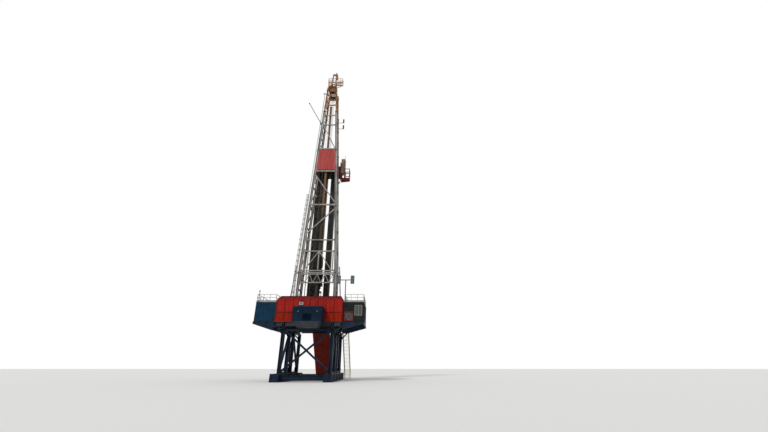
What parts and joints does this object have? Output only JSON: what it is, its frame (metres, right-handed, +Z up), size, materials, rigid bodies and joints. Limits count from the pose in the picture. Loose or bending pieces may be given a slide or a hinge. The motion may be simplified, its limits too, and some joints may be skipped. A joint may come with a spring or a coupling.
{
  "type": "land drilling rig, 1:2 scale model",
  "caption": "Half-scale land drilling rig: raised floor with red windwalls, lattice mast, racked pipe, crown block and a travelling block that runs up and down the mast.",
  "frame": {"origin": "on the ground at the centre of the rig's overall outline", "axes": "+Z up, +Y towards the pipe ramp, +X towards the control cabin; the drawworks side faces -Y"},
  "size_m": [7.54, 9.622, 29.046],
  "materials": {
    "dark_blue_steel": "weathered gloss enamel over primed steel",
    "drawworks_blue": "weathered gloss enamel over primed steel",
    "floor_grey": "weathered gloss enamel over primed steel",
    "deck_plate": "worn anti-slip paint",
    "rotary_steel": "worn bare steel",
    "ramp_red": "weathered gloss enamel over primed steel",
    "rail_yellow": "weathered gloss enamel over primed steel",
    "tread_grey": "dull galvanised grating",
    "windwall_red": "weathered gloss enamel over primed steel",
    "doghouse_blue": "weathered gloss enamel over primed steel",
    "roof_grey": "weathered gloss enamel over primed steel",
    "door_blue": "weathered gloss enamel over primed steel",
    "cabin_teal": "weathered gloss enamel over primed steel",
    "window_glass": "tinted pane",
    "guard_red": "weathered gloss enamel over primed steel",
    "rail_grey": "weathered gloss enamel over primed steel",
    "mast_galvanised": "dull hot-dip galvanised steel with rust at the joints",
    "crown_rust": "rusted orange-brown paint",
    "guide_orange": "rubbed orange-brown paint",
    "board_dark": "oily dark green paint",
    "panel_rose": "weathered gloss enamel over primed steel",
    "pipe_steel": "dark oiled mill scale",
    "wire_rope": "greased wire",
    "block_dark": "dark worn enamel",
    "drive_dark": "weathered gloss enamel over primed steel",
    "lamp_body": "satin grey enamel"
  },
  "bodies": {
    "rig": {"base_boxes": "dark_blue_steel", "base_spreaders": "dark_blue_steel", "side_frame_left": "dark_blue_steel", "side_frame_right": "dark_blue_steel", "rear_bracing": "dark_blue_steel", "floor_frame": "floor_grey", "deck": "deck_plate", "rotary_table": "rotary_steel", "pipe_ramp": "ramp_red", "stair_stringers": "rail_yellow", "stair_treads": "tread_grey", "rear_windwall": "windwall_red", "side_windwalls": "windwall_red", "front_windwall": "windwall_red", "doghouse_walls": "doghouse_blue", "doghouse_roof": "roof_grey", "doghouse_door": "door_blue", "cabin_walls": "cabin_teal", "cabin_roof": "roof_grey", "window_glass": "window_glass", "window_guard": "guard_red", "roof_rails": "rail_grey", "side_porches": "dark_blue_steel", "drawworks_house": "drawworks_blue", "drawworks_skid": "floor_grey", "mast_base_sides": "mast_galvanised", "mast_base_back": "mast_galvanised", "mast_lower_sides": "mast_galvanised", "mast_lower_back": "mast_galvanised", "mast_middle_sides": "mast_galvanised", "mast_middle_back": "mast_galvanised", "mast_upper_sides": "mast_galvanised", "mast_upper_faces": "mast_galvanised", "mast_crown_sides": "crown_rust", "mast_crown_faces": "crown_rust", "mast_struts": "mast_galvanised", "ladder": "rail_grey", "ladder_cage": "rail_grey", "guide_rail": "guide_orange", "standpipe": "mast_galvanised", "racking_board": "board_dark", "mast_windwalls": "windwall_red", "board_windwalls": "panel_rose", "landing": "guard_red", "pipe_stands_left": "pipe_steel", "pipe_stands_right": "pipe_steel", "crown_frame": "crown_rust", "crown_catwalk": "crown_rust", "crown_sheaves": "guide_orange", "crown_rail": "crown_rust", "gin_pole": "crown_rust", "drill_lines": "wire_rope", "anchored_lines": "wire_rope", "floodlights": "lamp_body", "warning_lamps": "guard_red", "light_pole": "lamp_body", "signal_pole": "lamp_body"},
    "hoist": {"travelling_block": "block_dark", "top_drive": "drive_dark", "elevator_links": "rotary_steel"}
  },
  "joints": [
    {"name": "block_slide", "type": "slide", "parent": "rig", "child": "hoist", "axis": [0, 0, 1], "range_m": [-0.3, 14], "deforming": ["drill_lines"]}
  ]
}
